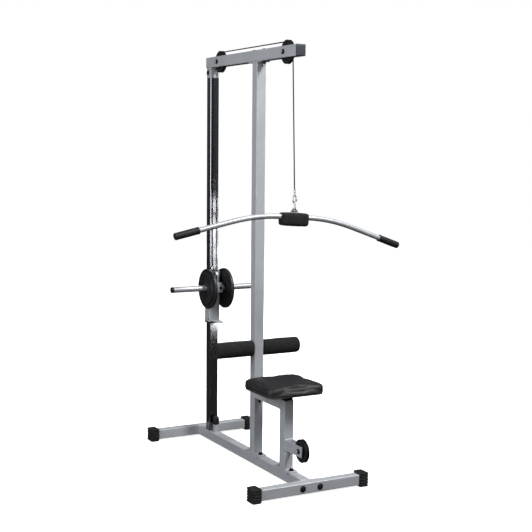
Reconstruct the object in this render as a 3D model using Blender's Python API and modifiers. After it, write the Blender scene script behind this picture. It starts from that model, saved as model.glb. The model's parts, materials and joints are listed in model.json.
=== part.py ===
"""Plate-loaded lat pulldown machine with a low pulley.

Metres. +X runs across the machine, -Y is the seat end, +Z is up. The origin is on the floor in
the middle of the footprint. Every moving piece hangs from an empty that stands on its joint.
"""
import math

import bmesh
import bpy
from mathutils import Matrix, Vector

NAME = "plate loaded lat pulldown machine"
GAP = 0.0003                 # clearance between pieces that touch
TUBE = 0.0508                # square frame tube
HALF = TUBE / 2
WALL = 0.0025
CORNER = 0.003

# base
BASE_Z = 0.0355              # centre height of the base tubes
BASE_TOP = BASE_Z + HALF
FRONT_Y = -0.607
REAR_Y = 0.607
STABILIZER_HALF = 0.298      # half length of the tube, inside its end caps
CAP_INNER_X = 0.270
CAP_OUTER_X = 0.319
CAP_HALF = 0.0355
PLATE_T = 0.006
TOP_PLATE_T = 0.004

# uprights and boom
UPRIGHT_Y = -0.067
FOOT_TOP = BASE_TOP + GAP + PLATE_T
BOOM_BOTTOM = 2.0645
BOOM_TOP = 2.120
BOOM_Z = (BOOM_BOTTOM + BOOM_TOP) / 2
BOOM_HALF_V = (BOOM_TOP - BOOM_BOTTOM) / 2
BOOM_FRONT = -0.477
BOOM_REAR = 0.500
SLOT_W = 0.028
GUIDE_Y = 0.466
GUIDE = 0.049
STUB = 0.0508
STUB_BOTTOM = 2.011

# bumper
BUMPER_Y = 0.411
BUMPER_FOOT = 0.1045
BUMPER_TOP = 0.1505
BUMPER_R = 0.0180

# seat
LEG_Y = -0.384
SEAT_TUBE_TOP = 0.4105
PAD_BOTTOM = 0.4460
PAD_TOP = 0.500
PAD_HALF_X = 0.160
PAD_FRONT = -0.507
PAD_REAR = -0.200

# pulleys and cable
PULLEY_R = 0.0575
GROOVE_R = 0.049
CABLE_R = 0.003
PULLEY_HALF = 0.0085
BORE_R = 0.0053
AXLE_R = 0.0050
PULLEY_Z = 2.092
FRONT_PULLEY_Y = -0.357
REAR_PULLEY_Y = 0.367
DROP_Y = REAR_PULLEY_Y + GROOVE_R
LOW_PULLEY_Y = -0.540
LOW_PULLEY_Z = 0.191
CHEEK_IN = 0.0170
CHEEK_OUT = 0.0210

# weight carriage
SLEEVE = 0.063
SLEEVE_HALF = SLEEVE / 2
SLEEVE_WALL = 0.003
SLEEVE_BOTTOM = 0.680
SLEEVE_TOP = 0.958
FRONT_FACE = GUIDE_Y - SLEEVE_HALF - GAP
POST_Y = 0.4160              # the weight rod passes in front of the sleeve, under the cable
POST_Z = 0.8705
POST_R = 0.0155
POST_END = 0.267
PLATE_INNER_X = 0.042
PLATE_R = 0.110
PLATE_STEP_R = 0.087
PLATE_SAG = 0.0040            # the plates hang on the rod by their wider bores
TONGUE_Z = 0.6870
TAB_HOLE_Z = 0.9440

# leg rollers
ROLLER_Z = 0.616
ROLLER_R = 0.0415
ROLLER_INNER_X = 0.029
ROLLER_OUTER_X = 0.238
ROD_R = 0.0125

# lat bar
BAR_R = 0.0125
BAR_CENTRE_Z = 1.3085
BAR_TILT = math.radians(3.7)
GRIP_R = 0.0170
BLOCK_HALF_X = 0.0755
BLOCK_LOW = 1.2645
BLOCK_HIGH = 1.3315
WIRE_R = 0.0025
LINK_PITCH = 0.040
LINK_SLACK = 0.0009
PIVOT_Z = 1.3427             # where the link bears on the eyelet
HOOK_BOTTOM = PIVOT_Z + LINK_PITCH - 2 * WIRE_R - LINK_SLACK
HOOK_TOP = HOOK_BOTTOM + 0.034
LEAN = math.radians(2.6)     # the pulled cable leans towards the seat
LEAVE_Y = FRONT_PULLEY_Y - GROOVE_R * math.cos(LEAN)
LEAVE_Z = PULLEY_Z + GROOVE_R * math.sin(LEAN)
BAR_Y = LEAVE_Y - (LEAVE_Z - HOOK_TOP) * math.tan(LEAN)

# base colour, metallic, roughness
LOOKS = {
    "silver paint": ((0.52, 0.54, 0.57), 0.6, 0.38),
    "chrome": ((0.86, 0.87, 0.88), 1.0, 0.10),
    "zinc": ((0.66, 0.69, 0.74), 1.0, 0.28),
    "black steel": ((0.025, 0.025, 0.028), 0.4, 0.40),
    "black plastic": ((0.020, 0.020, 0.022), 0.0, 0.45),
    "slate plastic": ((0.075, 0.080, 0.100), 0.0, 0.50),
    "rubber": ((0.018, 0.018, 0.019), 0.0, 0.75),
    "foam": ((0.016, 0.016, 0.017), 0.0, 0.90),
    "vinyl": ((0.017, 0.017, 0.018), 0.0, 0.55),
    "cable coat": ((0.015, 0.015, 0.016), 0.0, 0.35),
    "cast iron": ((0.022, 0.022, 0.024), 0.3, 0.60),
}

# rotations that lay an object's own Z along a world axis
LAY = {
    "X": Matrix.Rotation(math.radians(90), 4, "Y"),
    "-X": Matrix.Rotation(math.radians(-90), 4, "Y"),
    "Y": Matrix.Rotation(math.radians(-90), 4, "X"),
    "Z": Matrix.Identity(4),
}

for old in list(bpy.data.objects):
    bpy.data.objects.remove(old, do_unlink=True)


def new_collection(name):
    coll = bpy.data.collections.new(name)
    bpy.context.scene.collection.children.link(coll)
    return coll


PARTS = new_collection(NAME)
CUTTERS = new_collection("cutters")


def paint(obj, look):
    color, metallic, roughness = LOOKS[look]
    mat = bpy.data.materials.new(obj.name + " " + look)
    mat.use_nodes = True
    shader = mat.node_tree.nodes["Principled BSDF"]
    shader.inputs["Base Color"].default_value = (*color, 1.0)
    shader.inputs["Metallic"].default_value = metallic
    shader.inputs["Roughness"].default_value = roughness
    mat.diffuse_color = (*color, 1.0)
    obj.data.materials.append(mat)


def place(name, data, look, at, turn=LAY["Z"]):
    """Link an object; one with no look is a cutter."""
    obj = bpy.data.objects.new(name, data)
    obj.location = at
    obj.rotation_euler = turn.to_euler()
    if look is None:
        CUTTERS.objects.link(obj)
        obj.hide_render = True
        obj.display_type = "WIRE"
    else:
        PARTS.objects.link(obj)
        paint(obj, look)
    return obj


def mesh_from(bm, name):
    mesh = bpy.data.meshes.new(name)
    bm.to_mesh(mesh)
    bm.free()
    mesh.shade_smooth()
    mesh.set_sharp_from_angle(angle=math.radians(35))
    return mesh


def block(size, corner=0.0, segments=2, along="Z"):
    """Cube scaled to size, with the four edges along one axis rounded."""
    bm = bmesh.new()
    bmesh.ops.create_cube(bm, size=1.0)
    bmesh.ops.scale(bm, vec=size, verts=bm.verts)
    if corner:
        axis = "XYZ".index(along)
        edges = [e for e in bm.edges
                 if abs((e.verts[0].co - e.verts[1].co).normalized()[axis]) > 0.99]
        bmesh.ops.bevel(bm, geom=edges, offset=corner, segments=segments, profile=0.5,
                        affect="EDGES")
    return bm


def slab(name, look, at, size, corner=0.003, segments=2, along="Z", edge=0.0008):
    """Solid plate or pad with rounded corners and a small edge break."""
    obj = place(name, mesh_from(block(size, corner, segments, along), name), look, at)
    if edge:
        bevel = obj.modifiers.new("edge", "BEVEL")
        bevel.width = edge
        bevel.segments = 1
        bevel.limit_method = "ANGLE"
        bevel.angle_limit = math.radians(60)
    return obj


def square_tube(name, look, along, low, high, at, size=(TUBE, TUBE), wall=WALL, corner=CORNER):
    """Open-ended tube from low to high along an axis; at gives its other two coordinates."""
    axis = "XYZ".index(along)
    full = list(size)
    full.insert(axis, high - low)
    centre = list(at)
    centre.insert(axis, (low + high) / 2)
    bm = block(full, corner, 3, along)
    ends = [f for f in bm.faces if abs(f.normal[axis]) > 0.99]
    bmesh.ops.delete(bm, geom=ends, context="FACES_ONLY")
    obj = place(name, mesh_from(bm, name), look, centre)
    shell = obj.modifiers.new("wall", "SOLIDIFY")
    shell.thickness = wall
    shell.offset = -1.0
    shell.use_even_offset = True
    return obj


def turned(name, look, along, at, profile, steps=16, ring=False, quarter=False):
    """Turn a profile of (radius, height) points; quarter stands a four-step turn on its flats."""
    points = profile if ring else [(0.0, profile[0][1])] + profile + [(0.0, profile[-1][1])]
    area = sum(a[0] * b[1] - b[0] * a[1] for a, b in zip(points, points[1:] + points[:1]))
    if area > 0:
        points = points[::-1]
    mesh = bpy.data.meshes.new(name)
    count = len(points)
    edges = [(i, i + 1) for i in range(count - 1)] + ([(count - 1, 0)] if ring else [])
    mesh.from_pydata([(r, 0.0, w) for r, w in points], edges, [])
    turn = LAY[along]
    if quarter:
        turn = turn @ Matrix.Rotation(math.radians(45), 4, "Z")
    obj = place(name, mesh, look, at, turn)
    screw = obj.modifiers.new("turn", "SCREW")
    screw.steps = steps
    screw.render_steps = steps
    screw.use_merge_vertices = True
    screw.merge_threshold = 0.00001
    screw.use_smooth_shade = steps > 4
    return obj


def wire(name, look, path, radius, cyclic=False, sides=2):
    """Round wire or tube along a path."""
    curve = bpy.data.curves.new(name, "CURVE")
    curve.dimensions = "3D"
    curve.bevel_depth = radius
    curve.bevel_resolution = sides
    curve.use_fill_caps = not cyclic
    spline = curve.splines.new("POLY")
    spline.points.add(len(path) - 1)
    for point, co in zip(spline.points, path):
        point.co = (*co, 1.0)
    spline.use_cyclic_u = cyclic
    return place(name, curve, look, (0, 0, 0))


def flat(name, look, outline, thickness, at, turn=LAY["Z"]):
    """Flat outline given a thickness, made into a mesh so that it can be drilled."""
    curve = bpy.data.curves.new(name, "CURVE")
    curve.dimensions = "2D"
    curve.fill_mode = "BOTH"
    curve.extrude = thickness / 2
    spline = curve.splines.new("POLY")
    spline.points.add(len(outline) - 1)
    for point, (u, v) in zip(spline.points, outline):
        point.co = (u, v, 0.0, 1.0)
    spline.use_cyclic_u = True
    shape = bpy.data.objects.new(name + " outline", curve)
    PARTS.objects.link(shape)
    bpy.context.view_layer.update()
    mesh = bpy.data.meshes.new_from_object(shape.evaluated_get(bpy.context.evaluated_depsgraph_get()))
    bpy.data.objects.remove(shape, do_unlink=True)
    bm = bmesh.new()
    bm.from_mesh(mesh)
    bmesh.ops.remove_doubles(bm, verts=bm.verts, dist=0.00001)
    bmesh.ops.recalc_face_normals(bm, faces=bm.faces)
    bm.to_mesh(mesh)
    bm.free()
    return place(name, mesh, look, at, turn)


def subtract(obj, cutter):
    cut = obj.modifiers.new(cutter.name, "BOOLEAN")
    cut.operation = "DIFFERENCE"
    cut.solver = "EXACT"
    cut.object = cutter


def drill(obj, along, at, radius, depth=0.08, segments=12):
    """Cut a round hole through obj, centred on at."""
    bm = bmesh.new()
    bmesh.ops.create_cone(bm, cap_ends=True, segments=segments, radius1=radius, radius2=radius,
                          depth=depth)
    cutter = place(obj.name + " hole", mesh_from(bm, "hole"), None, at, LAY[along])
    subtract(obj, cutter)
    return cutter


def slot(obj, at, size):
    subtract(obj, place(obj.name + " slot", mesh_from(block(size, 0.004), "slot"), None, at))


def bolt(name, along, at, head, nut, head_r=0.0100, shank_r=0.0047, nut_h=0.0090):
    """Domed head and washer beyond head, plain shank; washer, nut and thread end beyond nut."""
    s = 1.0 if head > nut else -1.0
    washer = 0.0024
    nut_r = 0.0088
    thread = 0.0030
    profile = [
        (0.0048, head + s * 0.0076),
        (0.0078, head + s * 0.0048),
        (head_r, head + s * washer),
        (head_r, head + s * GAP),
        (shank_r, head + s * GAP),
        (shank_r, nut - s * GAP),
        (head_r, nut - s * GAP),
        (head_r, nut - s * washer),
        (nut_r, nut - s * washer),
        (nut_r, nut - s * (nut_h - thread)),
        (shank_r, nut - s * (nut_h - thread)),
        (shank_r, nut - s * nut_h),
    ]
    return turned(name, "black steel", along, at, profile, steps=8)


def empty(name, at, parent=None):
    obj = bpy.data.objects.new(name, None)
    obj.empty_display_size = 0.03
    obj.location = at
    PARTS.objects.link(obj)
    if parent:
        hang(parent, obj)
    return obj


def hang(parent, *objects):
    """Parent objects without moving them."""
    bpy.context.view_layer.update()
    for obj in objects:
        obj.parent = parent
        obj.matrix_parent_inverse = parent.matrix_world.inverted()


# ---------------------------------------------------------------- base
base_tube = square_tube("base_tube", "silver paint", "Y", FRONT_Y + HALF + 2 * GAP + PLATE_T,
                        REAR_Y - HALF - GAP, (0, BASE_Z))
front_stabilizer = square_tube("front_stabilizer", "silver paint", "X", -STABILIZER_HALF,
                               STABILIZER_HALF, (FRONT_Y, BASE_Z))
square_tube("rear_stabilizer", "silver paint", "X", -STABILIZER_HALF, STABILIZER_HALF,
            (REAR_Y, BASE_Z))


def end_cap(name, side, y):
    """Square rubber cap pushed over the end of a stabilizer tube."""
    cap = slab(name, "rubber", (side * (CAP_INNER_X + CAP_OUTER_X) / 2, y, BASE_Z),
               (CAP_OUTER_X - CAP_INNER_X, 2 * CAP_HALF, 2 * CAP_HALF), corner=0.008,
               segments=3, along="X", edge=0.003)
    bore = TUBE + 2 * GAP
    depth = 0.1
    socket = mesh_from(block((depth, bore, bore), CORNER - 0.0012, 2, "X"), "socket")
    middle_x = side * (STABILIZER_HALF + GAP - depth / 2)
    subtract(cap, place(name + " socket", socket, None, (middle_x, y, BASE_Z)))


for end_name, y in (("front", FRONT_Y), ("rear", REAR_Y)):
    end_cap("end_cap_" + end_name + "_left", -1, y)
    end_cap("end_cap_" + end_name + "_right", 1, y)

plate_y = FRONT_Y + HALF + GAP + PLATE_T / 2
joint_plate = slab("front_joint_plate", "silver paint", (0, plate_y, BASE_Z),
                   (0.132, PLATE_T, TUBE - 0.002), along="Y")
for side_name, x in (("left", -0.047), ("right", 0.047)):
    bolt("front_stabilizer_bolt_" + side_name, "Y", (x, 0, BASE_Z), FRONT_Y - HALF,
         plate_y + PLATE_T / 2, head_r=0.0130)
    drill(front_stabilizer, "Y", (x, FRONT_Y, BASE_Z), 0.0052)
    drill(joint_plate, "Y", (x, plate_y, BASE_Z), 0.0052)


# ---------------------------------------------------------------- uprights
def foot(prefix, y, pitch):
    """Flange plate on the base tube with a bolt in front of and behind the upright."""
    plate = slab(prefix + "_foot_plate", "silver paint", (0, y, FOOT_TOP - PLATE_T / 2),
                 (TUBE, 2 * pitch + 0.040, PLATE_T))
    for end, s in (("front", -1), ("rear", 1)):
        bolt_y = y + s * pitch
        bolt(prefix + "_foot_bolt_" + end, "Z", (0, bolt_y, 0), BASE_TOP - TUBE, FOOT_TOP,
             nut_h=0.0180)
        drill(plate, "Z", (0, bolt_y, FOOT_TOP), 0.0052)
        drill(base_tube, "Z", (0, bolt_y, BASE_Z), 0.0052)


foot("upright", UPRIGHT_Y, 0.050)
foot("seat_leg", LEG_Y, 0.053)

top_plate_z = BOOM_BOTTOM - GAP - TOP_PLATE_T / 2
main_upright = square_tube("main_upright", "silver paint", "Z", FOOT_TOP + GAP,
                           top_plate_z - TOP_PLATE_T / 2 - GAP, (0, UPRIGHT_Y))
drill(main_upright, "X", (0, UPRIGHT_Y, ROLLER_Z), ROD_R + 2 * GAP, segments=20)
top_plate = slab("upright_top_plate", "silver paint", (0, UPRIGHT_Y, top_plate_z),
                 (TUBE, 0.144, TOP_PLATE_T))

boom = square_tube("boom", "silver paint", "Y", BOOM_FRONT, BOOM_REAR, (0, BOOM_Z),
                   size=(TUBE, 2 * BOOM_HALF_V))
for pulley_y in (FRONT_PULLEY_Y, REAR_PULLEY_Y):
    slot(boom, (0, pulley_y, BOOM_Z), (SLOT_W, 2 * PULLEY_R + 0.012, 0.1))
    drill(boom, "X", (0, pulley_y, PULLEY_Z), BORE_R)
for end, s in (("front", -1), ("rear", 1)):
    bolt_y = UPRIGHT_Y + s * 0.052
    bolt("boom_bolt_" + end, "Z", (0, bolt_y, 0), BOOM_TOP, top_plate_z - TOP_PLATE_T / 2,
         nut_h=0.0170)
    drill(boom, "Z", (0, bolt_y, BOOM_Z), 0.0052)
    drill(top_plate, "Z", (0, bolt_y, top_plate_z), 0.0052, depth=0.02)

slab("boom_end_cap", "slate plastic", (0, BOOM_FRONT - GAP - 0.0033, BOOM_Z),
     (TUBE, 0.0066, 2 * BOOM_HALF_V), corner=CORNER, segments=3, along="Y", edge=0.0018)

square_tube("guide_upright", "chrome", "Z", BASE_TOP + GAP, STUB_BOTTOM - GAP, (0, GUIDE_Y),
            size=(GUIDE, GUIDE), wall=0.002)
square_tube("guide_stub", "silver paint", "Z", STUB_BOTTOM, BOOM_BOTTOM - GAP, (0, GUIDE_Y),
            size=(STUB, STUB))

# ---------------------------------------------------------------- bumper
slab("bumper_post", "silver paint", (0, BUMPER_Y, (BASE_TOP + GAP + BUMPER_FOOT) / 2),
     (0.024, 0.024, BUMPER_FOOT - BASE_TOP - GAP))
turned("bumper", "rubber", "Z", (0, BUMPER_Y, 0), [
    (BUMPER_R - 0.0040, BUMPER_FOOT + GAP), (BUMPER_R - 0.0008, BUMPER_FOOT + 0.004),
    (BUMPER_R, BUMPER_FOOT + 0.010), (BUMPER_R, BUMPER_TOP - 0.016),
    (BUMPER_R - 0.0016, BUMPER_TOP - 0.009), (BUMPER_R - 0.0055, BUMPER_TOP - 0.003),
    (BUMPER_R - 0.0120, BUMPER_TOP)])

# ---------------------------------------------------------------- seat
square_tube("seat_tube", "silver paint", "Y", LEG_Y + HALF + GAP, UPRIGHT_Y - HALF - GAP,
            (0, SEAT_TUBE_TOP - HALF))
square_tube("seat_leg", "silver paint", "Z", FOOT_TOP + GAP, SEAT_TUBE_TOP, (0, LEG_Y))
top = PAD_BOTTOM - GAP
flange = top - 0.0042
foot_z = SEAT_TUBE_TOP + GAP
riser = [(-0.023, foot_z), (0.023, foot_z), (0.023, flange), (0.085, flange), (0.085, top),
         (-0.085, top), (-0.085, flange), (-0.023, flange)]
upright_turn = Matrix.Rotation(math.radians(90), 4, "X")
flat("seat_bracket", "black steel", riser, 0.176, (0, -0.315, 0), upright_turn)

seat_pad = slab("seat_pad", "vinyl", (0, (PAD_REAR + PAD_FRONT) / 2, (PAD_BOTTOM + PAD_TOP) / 2),
                (2 * PAD_HALF_X, PAD_REAR - PAD_FRONT, PAD_TOP - PAD_BOTTOM), corner=0.045,
                segments=5, edge=0)
roll = seat_pad.modifiers.new("edge", "BEVEL")
roll.width = 0.012
roll.segments = 3
roll.limit_method = "ANGLE"
roll.angle_limit = math.radians(60)

# ---------------------------------------------------------------- low pulley
web_y = LEG_Y - HALF - GAP
tip_y = LOW_PULLEY_Y - 0.028
channel = [(-CHEEK_OUT, web_y), (-CHEEK_OUT, tip_y), (-CHEEK_IN, tip_y), (-CHEEK_IN, web_y - 0.004),
           (CHEEK_IN, web_y - 0.004), (CHEEK_IN, tip_y), (CHEEK_OUT, tip_y), (CHEEK_OUT, web_y)]
low_bracket = flat("low_pulley_bracket", "silver paint", channel, 0.052, (0, 0, LOW_PULLEY_Z))
low_at = (0, LOW_PULLEY_Y, LOW_PULLEY_Z)
drill(low_bracket, "X", low_at, BORE_R)


def pulley(name, at, hub_half):
    """Grooved wheel with a thin web, a hub and a bore."""
    g = CABLE_R + 2 * GAP
    half = [(BORE_R, hub_half), (0.0110, hub_half), (0.0115, 0.0060), (0.0350, 0.0048),
            (0.0400, PULLEY_HALF - 0.0008), (PULLEY_R - 0.0012, PULLEY_HALF),
            (PULLEY_R, PULLEY_HALF - 0.0015), (GROOVE_R + 0.0016, g), (GROOVE_R - 0.0026, 0.62 * g),
            (GROOVE_R - g, 0.0008)]
    profile = half + [(r, -w) for r, w in reversed(half)]
    return turned(name, "black plastic", "X", at, profile, steps=24, ring=True)


inside = HALF - WALL - GAP
for name, at, hub_half, axle, face in (
        ("front_top_pulley", (0, FRONT_PULLEY_Y, PULLEY_Z), inside, "front_pulley_axle", HALF),
        ("rear_top_pulley", (0, REAR_PULLEY_Y, PULLEY_Z), inside, "rear_pulley_axle", HALF),
        ("low_pulley", low_at, CHEEK_IN - GAP, "low_pulley_axle", CHEEK_OUT)):
    hang(empty(name + " joint", at), pulley(name, at, hub_half))
    bolt(axle, "X", at, face, -face, shank_r=AXLE_R, nut_h=0.0110)

# ---------------------------------------------------------------- cable
arc = [math.radians(a) for a in range(0, 91, 10)]
run = [(0, FRONT_PULLEY_Y - GROOVE_R * math.cos(a), PULLEY_Z + GROOVE_R * math.sin(a))
       for a in [LEAN] + arc[1:]]
run += [(0, REAR_PULLEY_Y + GROOVE_R * math.sin(a), PULLEY_Z + GROOVE_R * math.cos(a)) for a in arc]
wire("cable_top_run", "cable coat", run, CABLE_R)

TAB_LINK_BOTTOM = TAB_HOLE_Z + 0.0045 - WIRE_R - GAP
TAB_LINK_TOP = TAB_LINK_BOTTOM + LINK_PITCH


def cable_drop(name, y, leave_z, length, lean=0.0):
    """Straight cable that leaves its pulley at (y, leave_z), with a swaged fitting at its end."""
    end = GAP - length
    obj = turned(name, "cable coat", "Z", (0, y, leave_z), [
        (0.0046, end), (0.0052, end + 0.002), (0.0052, end + 0.026), (CABLE_R, end + 0.030),
        (CABLE_R, -0.2), (CABLE_R, -GAP)], steps=8)
    obj.rotation_euler.x = -lean
    return obj


# ---------------------------------------------------------------- weight carriage
carriage = empty("carriage joint", (0, GUIDE_Y, SLEEVE_BOTTOM))
sleeve = square_tube("carriage_sleeve", "silver paint", "Z", SLEEVE_BOTTOM, SLEEVE_TOP,
                     (0, GUIDE_Y), size=(SLEEVE, SLEEVE), wall=SLEEVE_WALL, corner=0.006)


def bushing(name, end_z, s):
    """Nylon liner inside the sleeve with a flange outside its end; s points out of the sleeve."""
    root = math.sqrt(2)
    inner = (GUIDE / 2 + 0.0006) * root
    liner = (SLEEVE_HALF - SLEEVE_WALL - 0.0012) * root
    outer = SLEEVE_HALF * root
    face = end_z + s * GAP
    return turned(name, "black plastic", "Z", (0, GUIDE_Y, 0), [
        (inner, face + s * 0.0085), (outer - 0.002, face + s * 0.0085), (outer, face + s * 0.0065),
        (outer, face), (liner, face), (liner, face - s * 0.030), (inner, face - s * 0.030)],
        steps=4, ring=True, quarter=True)


bushing_bottom = bushing("bushing_bottom", SLEEVE_BOTTOM, -1)
bushing_top = bushing("bushing_top", SLEEVE_TOP, 1)

side_edge = [(0.022, FRONT_FACE), (0.022, FRONT_FACE - 0.030), (0.013, FRONT_FACE - 0.088),
             (0.007, FRONT_FACE - 0.094)]
outline = side_edge + [(-x, y) for x, y in reversed(side_edge)]
tongue = flat("bumper_tongue", "silver paint", outline, 0.005, (0, 0, TONGUE_Z))

# the tab stands in the plane of the cable: outline as (height, depth), turned upright
side_turn = LAY["X"]
tab_outline = [(-0.9000, FRONT_FACE), (-0.9060, DROP_Y - 0.0033), (-0.9360, DROP_Y - 0.0103),
               (-0.9470, DROP_Y - 0.0103), (-0.9540, DROP_Y - 0.0053), (-0.9560, FRONT_FACE)]
tab = flat("cable_tab", "zinc", tab_outline, 0.005, (0, 0, 0), side_turn)
drill(tab, "X", (0, DROP_Y, TAB_HOLE_Z), 0.0056, depth=0.03, segments=16)


def chain_link(name, plane, y, low, high, half_w):
    """Closed wire link standing on end in the XZ or YZ plane."""
    path = []
    for start, mid in ((0.0, high - half_w), (math.pi, low + half_w)):
        for i in range(8):
            a = start + math.pi * i / 7
            u = half_w * math.cos(a)
            z = mid + half_w * math.sin(a)
            path.append((u, y, z) if plane == "XZ" else (0, y + u, z))
    return wire(name, "zinc", path, WIRE_R, cyclic=True)


tab_link = chain_link("cable_link", "XZ", DROP_Y, TAB_LINK_BOTTOM, TAB_LINK_TOP, 0.0075)
rear_drop = cable_drop("cable_rear_drop", DROP_Y, PULLEY_Z, PULLEY_Z - TAB_LINK_TOP - WIRE_R)

block_back = FRONT_FACE
block_front = POST_Y - 0.020
rod_block = slab("rod_block", "silver paint", (0, (block_back + block_front) / 2, POST_Z),
                 (0.060, block_back - block_front, 0.054), along="Y")
drill(rod_block, "X", (0, POST_Y, POST_Z), POST_R + 2 * GAP, segments=20)
rod = turned("weight_rod", "chrome", "X", (0, POST_Y, POST_Z), [
    (POST_R - 0.003, -POST_END), (POST_R, 0.003 - POST_END), (POST_R, POST_END - 0.003),
    (POST_R - 0.003, POST_END)])
hang(carriage, sleeve, bushing_bottom, bushing_top, tongue, tab, tab_link, rear_drop, rod_block, rod)

for side_name, along, x in (("left", "-X", -PLATE_INNER_X), ("right", "X", PLATE_INNER_X)):
    at = (x, POST_Y, POST_Z - PLATE_SAG)
    bore = POST_R + PLATE_SAG + 0.0006
    plate = turned("weight_plate_" + side_name, "cast iron", along, at, [
        (bore, 0.0), (PLATE_R - 0.002, 0.0), (PLATE_R, 0.0020), (PLATE_R, 0.0135),
        (PLATE_R - 0.003, 0.0160), (PLATE_STEP_R + 0.002, 0.0152), (PLATE_STEP_R - 0.003, 0.0230),
        (PLATE_STEP_R - 0.006, 0.0240), (bore, 0.0240)], steps=32, ring=True)
    hang(empty(plate.name + " joint", at, carriage), plate)

# ---------------------------------------------------------------- leg rollers
turned("roller_rod", "zinc", "X", (0, UPRIGHT_Y, ROLLER_Z), [(ROD_R, -0.228), (ROD_R, 0.228)])
for side_name, along, x in (("left", "-X", -ROLLER_INNER_X), ("right", "X", ROLLER_INNER_X)):
    at = (x, UPRIGHT_Y, ROLLER_Z)
    length = ROLLER_OUTER_X - ROLLER_INNER_X
    bore = ROD_R + 0.0008
    roller = turned("foam_roller_" + side_name, "foam", along, at, [
        (bore, 0.0), (ROLLER_R - 0.008, 0.0), (ROLLER_R - 0.0020, 0.0020), (ROLLER_R, 0.0080),
        (ROLLER_R, length - 0.0080), (ROLLER_R - 0.0020, length - 0.0020),
        (ROLLER_R - 0.008, length), (bore, length)], steps=20, ring=True)
    hang(empty(roller.name + " joint", at), roller)

# ---------------------------------------------------------------- lat bar
travel = empty("bar_travel joint", (0, BAR_Y, HOOK_TOP))
hook = chain_link("snap_hook", "XZ", BAR_Y, HOOK_BOTTOM, HOOK_TOP, 0.0085)
front_drop = cable_drop("cable_front_drop", LEAVE_Y, LEAVE_Z,
                        (LEAVE_Z - HOOK_TOP - WIRE_R - GAP) / math.cos(LEAN), LEAN)
hang(travel, hook, front_drop)

swivel = empty("bar_swivel joint", (0, BAR_Y, PIVOT_Z + LINK_PITCH), travel)
hang(swivel, chain_link("swivel_link", "YZ", BAR_Y, PIVOT_Z, PIVOT_Z + LINK_PITCH, 0.0068))

# half of the bar's centre line: distance from the middle, drop
BAR_SHAPE = [(0.110, 0.0), (0.150, 0.0025), (0.190, 0.0065), (0.230, 0.0125), (0.270, 0.0205),
             (0.310, 0.0300), (0.350, 0.0408), (0.6105, 0.1148)]


def bar_point(side, x):
    """Point on the straight end of the bar."""
    (x0, d0), (x1, d1) = BAR_SHAPE[-2:]
    drop = d0 + (d1 - d0) * (x - x0) / (x1 - x0)
    return Vector((side * x, BAR_Y, BAR_CENTRE_Z - drop))


left_half = [(-x, BAR_Y, BAR_CENTRE_Z - d) for x, d in reversed(BAR_SHAPE)]
right_half = [(x, BAR_Y, BAR_CENTRE_Z - d) for x, d in BAR_SHAPE]
bar_parts = [wire("lat_bar", "chrome", left_half + right_half, BAR_R, sides=4)]

for side_name, side in (("left", -1), ("right", 1)):
    start = bar_point(side, 0.4950)
    tip = bar_point(side, 0.6105)
    bar_end = (tip - start).length + GAP
    length = bar_end + 0.0030
    bore = BAR_R + GAP
    grip = turned("hand_grip_" + side_name, "rubber", "Z", start, [
        (GRIP_R - 0.0012, 0.0), (GRIP_R, 0.0015), (GRIP_R, length - 0.0030),
        (GRIP_R - 0.0030, length)], steps=14)
    grip.rotation_euler = (tip - start).to_track_quat("Z", "Y").to_euler()
    bm = bmesh.new()
    bmesh.ops.create_cone(bm, cap_ends=True, segments=14, radius1=bore + 0.0003,
                          radius2=bore + 0.0003, depth=2 * bar_end)
    socket = place(grip.name + " socket", mesh_from(bm, "socket"), None, start)
    socket.rotation_euler = grip.rotation_euler
    subtract(grip, socket)
    bar_parts += [grip, socket]

middle = slab("bar_centre_block", "rubber", (0, BAR_Y, (BLOCK_LOW + BLOCK_HIGH) / 2),
              (2 * BLOCK_HALF_X, 0.058, BLOCK_HIGH - BLOCK_LOW), corner=0.020, segments=5,
              along="X", edge=0.005)
bar_parts += [middle, drill(middle, "X", (0, BAR_Y, BAR_CENTRE_Z), BAR_R + 2 * GAP, depth=0.2,
                            segments=16)]

eye_half = [(0.021, BLOCK_HIGH + GAP), (0.0195, BLOCK_HIGH + 0.003), (0.0085, PIVOT_Z + 0.0060),
            (0.0050, PIVOT_Z + 0.0082)]
eye_outline = eye_half + [(-x, z) for x, z in reversed(eye_half)]
eyelet = flat("bar_eyelet", "zinc", eye_outline, 0.005, (0, BAR_Y, 0), upright_turn)
bar_parts += [eyelet, drill(eyelet, "Y", (0, BAR_Y, PIVOT_Z - 0.0012), 0.0050, depth=0.03,
                            segments=16)]

tilt = empty("bar_tilt joint", (0, BAR_Y, PIVOT_Z), swivel)
hang(tilt, *bar_parts)
tilt.rotation_euler.y = BAR_TILT
bpy.context.view_layer.update()
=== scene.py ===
"""Looks for the plate-loaded lat pulldown machine: finishes, soft goods and small hardware.

Metres, in the frame of the CAD model: +X across, -Y the seat end, +Z up, floor at z = 0.
"""
import json
import math

import bmesh
import bpy
from mathutils import Matrix, Vector, noise


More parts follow.
